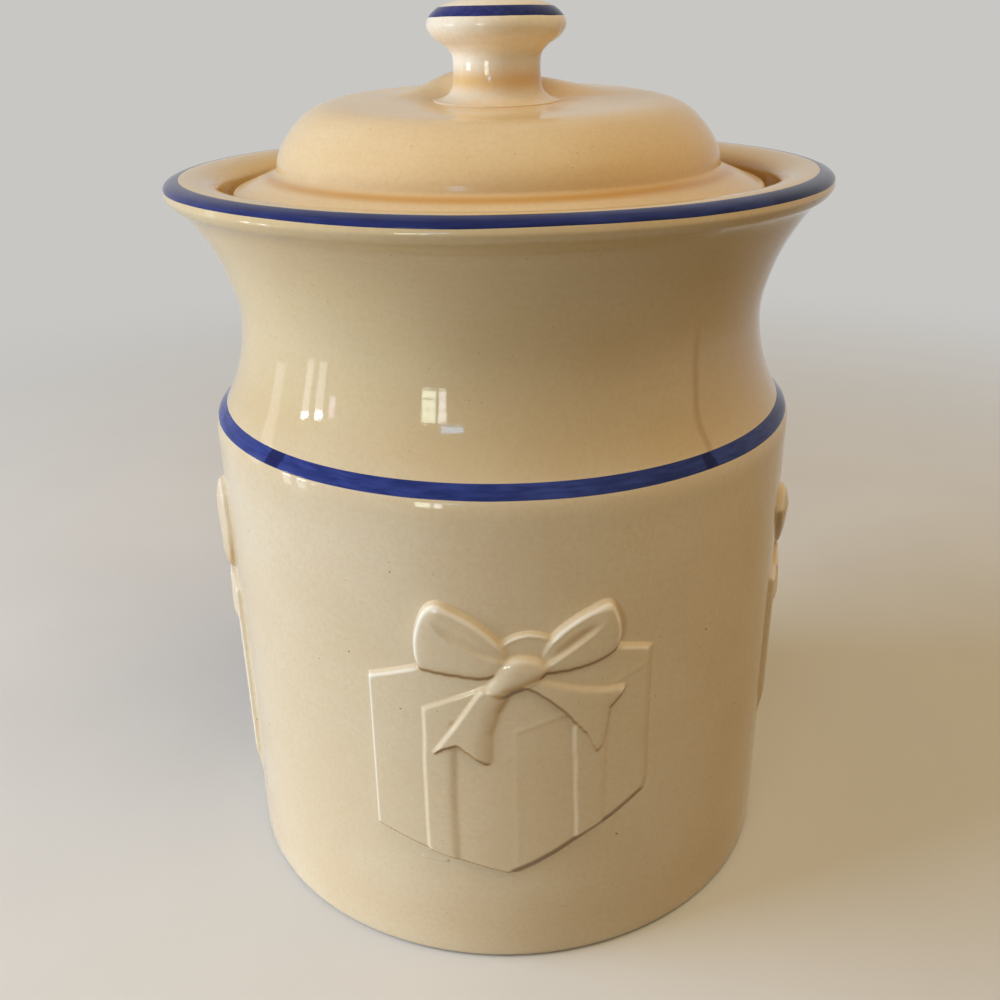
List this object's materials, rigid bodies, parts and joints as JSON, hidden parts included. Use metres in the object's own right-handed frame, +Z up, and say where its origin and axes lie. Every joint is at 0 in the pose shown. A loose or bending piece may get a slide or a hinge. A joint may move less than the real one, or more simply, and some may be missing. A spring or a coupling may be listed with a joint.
{
  "type": "biscuit jar",
  "caption": "Glazed stoneware biscuit jar with a drawn-in neck, flared lip, painted bands, moulded presents and a domed lift-off lid with a round knob.",
  "frame": {"origin": "middle of the foot, on the surface that the jar stands on", "axes": "+Z up along the turning axis, the front present faces -Y, +X is to the right seen from the front"},
  "size_m": [0.1768, 0.1768, 0.2447],
  "materials": {
    "cream_glaze": "gloss",
    "relief_glaze": "gloss",
    "lid_glaze": "gloss",
    "blue_glaze": "gloss"
  },
  "bodies": {
    "jar": {"jar_body": "cream_glaze", "shoulder_band": "blue_glaze", "rim_band": "blue_glaze", "gift_relief_front": "relief_glaze", "gift_relief_back": "relief_glaze", "gift_relief_left": "relief_glaze", "gift_relief_right": "relief_glaze"},
    "lid": {"lid": "lid_glaze", "lid_knob": "lid_glaze", "knob_band": "blue_glaze"}
  },
  "joints": [
    {"name": "lid_lift", "type": "slide", "parent": "jar", "child": "lid", "axis": [0, 0, 1], "range_m": [0, 0.12]}
  ]
}
